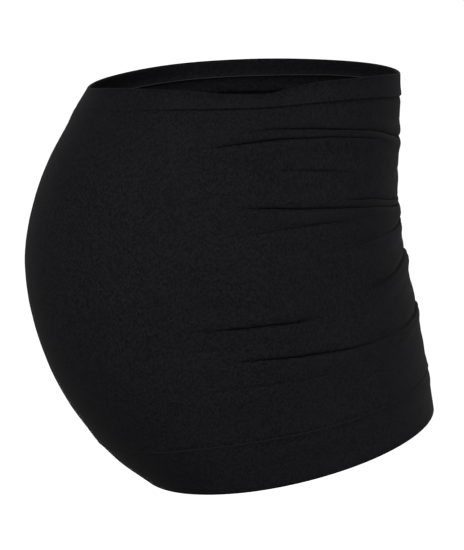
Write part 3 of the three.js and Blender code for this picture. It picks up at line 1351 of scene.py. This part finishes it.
@dataclass(frozen=True)
class Band:
    """A strip folded over one edge of the tube.

    Attributes:
        edge: The edge that it holds.
        cloth: The cloth's sizes.
        outer: Height of the outer layer, in metres.
        facing: Height of the inner layer.
        bead: How much thicker the layers' free edges are.
        flare: How far the inner layer's free edge stands off from the tube.
        groove: Whether the outer layer's free edge lies in a groove that hides its stitches.
        roll: How far the outer layer's free edge rolls outwards.
        flat: Width round and height of the strip off the body, unfolded, in metres; not used.
        roll_reach: How far from its free edge the roll begins, and from its fold the painted shade ends.
        fold_painted_shade: How strong the painted shade towards the fold is, as a share of that in the
            deepest crease.
        outer_stitch: How far the stitches along the outer layer stand out from the tube.
        stitch_gap: How far past a free edge its stitches run.
        first_seed: Seed of the first row of stitches, one less than that of the next.
        row: Greatest height of a row of faces.
        edge_rows: Where the last rows towards a free edge lie, in rows before it.
        bead_reach: How far from a free edge its thickening begins.
        flare_reach: How far from its free edge the inner layer begins to stand off.
        arc_steps: Steps round a fold or a free edge.
    """

    edge: Edge
    cloth: ClothSizes
    outer: float
    facing: float
    bead: float
    flare: float
    groove: bool
    roll: float
    flat: tuple[float, float]
    roll_reach: float = 8.0 * MM
    fold_painted_shade: float = 0.25
    outer_stitch: float = 0.55 * MM
    stitch_gap: float = 0.1 * MM
    first_seed: int = 3
    row: float = 2.0 * MM
    edge_rows: tuple[float, ...] = (0.6, 0.3, 0.0)
    bead_reach: float = 4.0 * MM
    flare_reach: float = 3.2 * MM
    arc_steps: int = 8

    def build(self, torso: Torso) -> bpy.types.Object:
        """Model the band.

        Args:
            torso: The surface that it lies on.

        Returns:
            The band's object.
        """
        height = torso.sizes.side_height
        section = self._section()
        if self.edge is Edge.HEM:
            section.reverse()
        distances = [distance / height for distance, _ in section]
        levels = [1 - d if self.edge is Edge.TOP else d for d in distances]
        offsets = [out - self.cloth.tube / 2 for _, out in section]

        def lift(turn: Array, level: Array) -> tuple[Array, Array]:
            """Roll the outer layer outwards towards its free edge, and paint shade on it towards its fold.

            Args:
                turn: Angles round the torso, in degrees.
                level: Knitted lines, as shares of the way up.

            Returns:
                How far the layer stands out, and how much painted shade it gets, from 0 to 1.
            """
            distance = height * (1 - level if self.edge is Edge.TOP else level)
            roll = ease(1 - (self.outer - distance) / self.roll_reach)
            # Painted shade, darkest at the fold and gone a roll's reach from it
            painted_fold_shade = self.fold_painted_shade * (1 - ease(distance / self.roll_reach))
            return self.roll * away_from_belly(turn) * roll, painted_fold_shade

        return Ring(levels, offsets, lift).sweep(torso, self.cloth, f"{self.edge.value}_knit")

    def _section(self) -> list[tuple[float, float]]:
        """Draw the band in section.

        Returns:
            Points as distances from the folded edge and from the middle of the tube's cloth, from
            the outer layer's free edge over the fold and back inside.
        """
        half, layer = self.cloth.band_half, self.cloth.layer
        inside = half - layer
        outer_run = self._run(self.outer)
        facing_run = self._run(self.facing)
        lift = [self._flare(d) for d in facing_run]
        section = [(d, half + self._swell(d, self.outer)) for d in reversed(outer_run)]
        section += self._fold(half)
        section += [(d, -half - self._swell(d, self.facing) - up) for d, up in zip(facing_run, lift)]
        section += self._free_edge(self.facing, -half - self.bead - lift[-1], -inside - lift[-1])
        section += [(d, -inside - up) for d, up in reversed(list(zip(facing_run, lift)))]
        section += self._fold(inside)[::-1]
        section += [(d, inside) for d in outer_run]
        section += self._free_edge(self.outer, inside, half + self.bead)
        return section

    def _run(self, height: float) -> list[float]:
        """Space the rows of faces along a layer, closer together towards its free edge.

        Args:
            height: The layer's height.

        Returns:
            The rows' distances from the folded edge.
        """
        steps = math.ceil((height - self.cloth.band_half) / self.row)
        rows = list(np.linspace(self.cloth.band_half, height, steps + 1))
        return rows[:-1] + [height - share * self.row for share in self.edge_rows]

    def _swell(self, distance: float, height: float) -> float:
        """How much thicker a layer is near its free edge."""
        return self.bead * float(ease(np.array(1 - (height - distance) / self.bead_reach)))

    def _flare(self, distance: float) -> float:
        """How far the inner layer stands off from the tube near its free edge."""
        return self.flare * max(1 - (self.facing - distance) / self.flare_reach, 0.0) ** 2

    def _arc(self) -> list[float]:
        """The angles at which a half circle has points, without its two ends."""
        return [math.pi * k / self.arc_steps for k in range(1, self.arc_steps)]

    def _fold(self, radius: float) -> list[tuple[float, float]]:
        """Go round the folded edge, from the outer side to the inner."""
        middle = self.cloth.band_half
        return [(middle - radius * math.sin(a), radius * math.cos(a)) for a in self._arc()]

    def _free_edge(self, height: float, start: float, end: float) -> list[tuple[float, float]]:
        """Round off a layer's free edge.

        Args:
            height: The layer's height.
            start: Where the rounding starts, measured from the middle of the tube's cloth.
            end: Where it ends.

        Returns:
            The points between.
        """
        middle, radius = (start + end) / 2, (end - start) / 2
        return [(height + abs(radius) * math.sin(a), middle - radius * math.cos(a)) for a in self._arc()]

    def linking_rows(self, torso: Torso) -> list[LinkingRow]:
        """Plan the stitches along the layers' free edges, as far as they show.

        Args:
            torso: The surface that the band lies on.

        Returns:
            The inner layer's row, and the outer one's too where no groove hides it.
        """
        within = -self.cloth.tube - self.cloth.band_stand - self.flare
        edges = [("inner", self.facing, within), ("outer", self.outer, self.outer_stitch)]
        rows = []
        shown = edges[:1] if self.groove else edges
        for seed, (side, reach, offset) in enumerate(shown, self.first_seed):
            distance = (reach + self.stitch_gap) / torso.sizes.side_height
            level = 1 - distance if self.edge is Edge.TOP else distance
            name = f"{self.edge.value}_{side}_stitches"
            rows.append(LinkingRow(name, level, offset, side == "inner", seed=seed))
        return rows

    def dress(
        self, piece: bpy.types.Object, finish: bpy.types.Material, rows: Sequence[bpy.types.Object]
    ) -> None:
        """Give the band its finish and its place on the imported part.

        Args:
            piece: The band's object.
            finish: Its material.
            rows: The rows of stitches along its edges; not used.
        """
        piece.data.materials.append(finish)
        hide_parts(self.edge.value)
        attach(piece, BODY)


@dataclass(frozen=True)
class SoftBox:
    """A square lamp that shines at the belt.

    Attributes:
        name: The lamp's name.
        azimuth: Angle from which it shines, counted as the camera's, in degrees.
        elevation: Height from which it shines, in degrees.
        power: Its power, in watts.
        width: Its width, in metres.
        distance: Its distance from the belt.
    """

    name: str
    azimuth: float
    elevation: float
    power: float
    width: float = 0.8
    distance: float = 2.0


@dataclass(frozen=True)
class Studio:
    """The camera, the floor and the light.

    Attributes:
        target: What the camera looks at, in metres.
        azimuth: Angle from which it looks, 0 from the belly's side and 90 from the wearer's left.
        elevation: Height from which it looks, in degrees.
        distance: Its distance from the target, in metres.
        lens: Its focal length, in millimetres.
        film: Height of its film, in millimetres.
        floor_level: Height of the floor, in metres.
        floor_reach: Half the floor's width.
        floor_glow: How brightly the floor shines by itself, as a lit paper roll does.
        floor_tone: How much light the floor throws back, and how rough it is.
        sky: Strength of the light from all round.
        lamps: Two from the camera's side, one for each edge of the outline, and one from beyond.
    """

    target: tuple[float, float, float] = (0.0, -0.024, -0.0081)
    azimuth: float = 90.0
    elevation: float = 9.0
    distance: float = 2.9
    lens: float = 237.3
    film: float = 36.0
    floor_level: float = -0.9
    floor_reach: float = 60.0
    floor_glow: float = 1.0
    floor_tone: float = 0.9
    sky: float = 0.08
    lamps: tuple[SoftBox, ...] = (
        SoftBox("key", 90.0, 22.0, 26.0),
        SoftBox("top", 90.0, 48.0, 15.0),
        SoftBox("belly edge", 8.0, -8.0, 17.0),
        SoftBox("back edge", 172.0, -8.0, 17.0),
        SoftBox("far side", 270.0, -15.0, 14.0, width=1.0),
    )

    def _direction(self, azimuth: float, elevation: float) -> Vector:
        """Point from the target to where a camera or a lamp stands.

        Args:
            azimuth: Angle from which it looks or shines, in degrees.
            elevation: Height from which it does, in degrees.

        Returns:
            A vector of length 1.
        """
        turn, lift = math.radians(azimuth), math.radians(elevation)
        flat = math.cos(lift)
        return Vector((math.sin(turn) * flat, -math.cos(turn) * flat, math.sin(lift)))

    def _aim(self, name: str, data: bpy.types.ID, away: Vector, distance: float) -> bpy.types.Object:
        """Set a camera or a lamp up so that it points at the target.

        Args:
            name: The new object's name.
            data: The camera or the lamp.
            away: The way from the target to it.
            distance: Its distance from the target, in metres.

        Returns:
            The object.
        """
        holder = put(name, data)
        holder.location = Vector(self.target) + distance * away
        holder.rotation_euler = (-away).to_track_quat("-Z", "Y").to_euler()
        return holder

    def place_camera(self) -> None:
        """Set up the camera that sees the belt from the wearer's left."""
        camera = bpy.data.cameras.new("camera")
        camera.sensor_fit = "VERTICAL"
        camera.sensor_height = self.film
        camera.lens = self.lens
        away = self._direction(self.azimuth, self.elevation)
        bpy.context.scene.camera = self._aim("camera", camera, away, self.distance)

    def lay_floor(self) -> None:
        """Lay the pale floor, far below the belt."""
        mesh = bpy.data.meshes.new("floor")
        signs = ((-1, -1), (1, -1), (1, 1), (-1, 1))
        corners = [(x * self.floor_reach, y * self.floor_reach, self.floor_level) for x, y in signs]
        mesh.from_pydata(corners, [], [(0, 1, 2, 3)])
        material, board, shader = new_material("pale floor")
        paper = {
            "Base Color": (self.floor_tone,) * 3 + (1.0,),
            "Emission Color": WHITE,
            "Emission Strength": self.floor_glow,
            "Roughness": self.floor_tone,
            "Specular IOR Level": 0.0,
        }
        board.fill(shader, paper)
        mesh.materials.append(material)
        floor = put("floor", mesh)
        floor.visible_diffuse = False
        floor.visible_glossy = False

    def light(self) -> None:
        """Hang the lamps, and light the belt a little from all round."""
        bpy.context.scene.view_settings.view_transform = "Standard"
        world = bpy.data.worlds.new("soft light")
        world.use_nodes = True
        board = NodeBoard(world.node_tree)
        board.fill(board.tree.nodes["Background"], {"Color": WHITE, "Strength": self.sky})
        bpy.context.scene.world = world
        for lamp in self.lamps:
            area = bpy.data.lights.new(lamp.name, "AREA")
            area.size = lamp.width
            area.energy = lamp.power
            away = self._direction(lamp.azimuth, lamp.elevation)
            self._aim(lamp.name, area, away, lamp.distance)


def main() -> None:
    """Build the belt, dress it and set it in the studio."""
    logging.basicConfig(level=logging.INFO, format="%(name)s: %(message)s")
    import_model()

    cloth = ClothSizes()
    torso = Torso(TorsoSizes.from_frame())
    relief, tone, stitches = knit_relief(), cloth_tone(), stitch_row()
    body_knit = KnitFinish("body knit").material(relief, tone)
    band_knit = KnitFinish("band knit").material(relief, tone)
    yarns = {
        # The rim yarn is much lighter than the cloth, a painted highlight for the inner layer's edge
        # catching the light
        Edge.TOP: YarnFinish("rim yarn painted highlight", (0.018, 0.018, 0.019), (0.038, 0.038, 0.04)).material(),
        Edge.HEM: YarnFinish("hem yarn", (0.005, 0.005, 0.006), (0.012, 0.012, 0.013)).material(),
    }

    top = Band(
        Edge.TOP, cloth, outer=15 * MM, facing=12.9 * MM, bead=0.1 * MM, flare=1.6 * MM,
        groove=True, roll=0.45 * MM, flat=(0.62, 0.032),
    )
    hem = Band(
        Edge.HEM, cloth, outer=44 * MM, facing=40 * MM, bead=0.15 * MM, flare=0.3 * MM,
        groove=False, roll=0.0, flat=(0.74, 0.088),
    )
    panel = BodyPanel(cloth, top.outer, hem.outer)
    piece = panel.build(torso)
    panel.dress(piece, body_knit)
    LOG.info("%s: %d faces", piece.name, len(piece.data.polygons))

    for band in (top, hem):
        piece = band.build(torso)
        rows = []
        for row in band.linking_rows(torso):
            rows.append(row.build(torso, stitches, yarns[band.edge]))
            row.dress(rows[-1])
        band.dress(piece, band_knit, rows)
        for made in (piece, *rows):
            LOG.info("%s: %d faces", made.name, len(made.data.polygons))

    studio = Studio()
    studio.place_camera()
    studio.lay_floor()
    studio.light()


if __name__ == "__main__":
    main()
